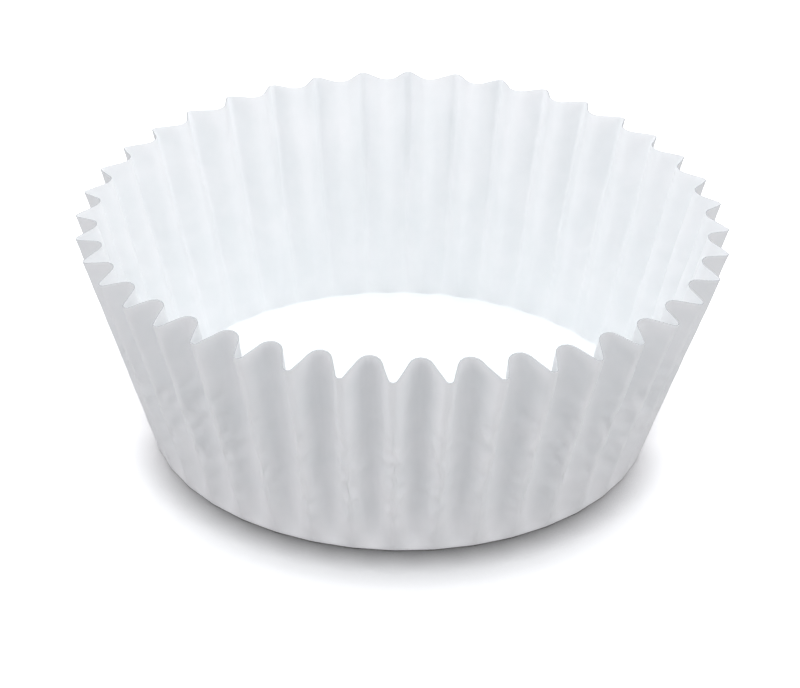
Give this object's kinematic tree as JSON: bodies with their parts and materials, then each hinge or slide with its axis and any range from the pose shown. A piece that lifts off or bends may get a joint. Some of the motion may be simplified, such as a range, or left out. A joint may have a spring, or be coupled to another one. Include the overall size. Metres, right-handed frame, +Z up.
{
  "type": "baking cup liner",
  "caption": "Fluted paper baking cup with a flat round floor and a flared pleated wall, open at the top.",
  "frame": {"origin": "centre of the floor's underside, on the cup's axis", "axes": "+Z up through the open mouth; +X and +Y each point along an outward fold"},
  "size_m": [0.0642, 0.0642, 0.0235],
  "materials": {
    "paper": "matte"
  },
  "bodies": {
    "root": {"paper_cup": "paper"}
  },
  "joints": []
}
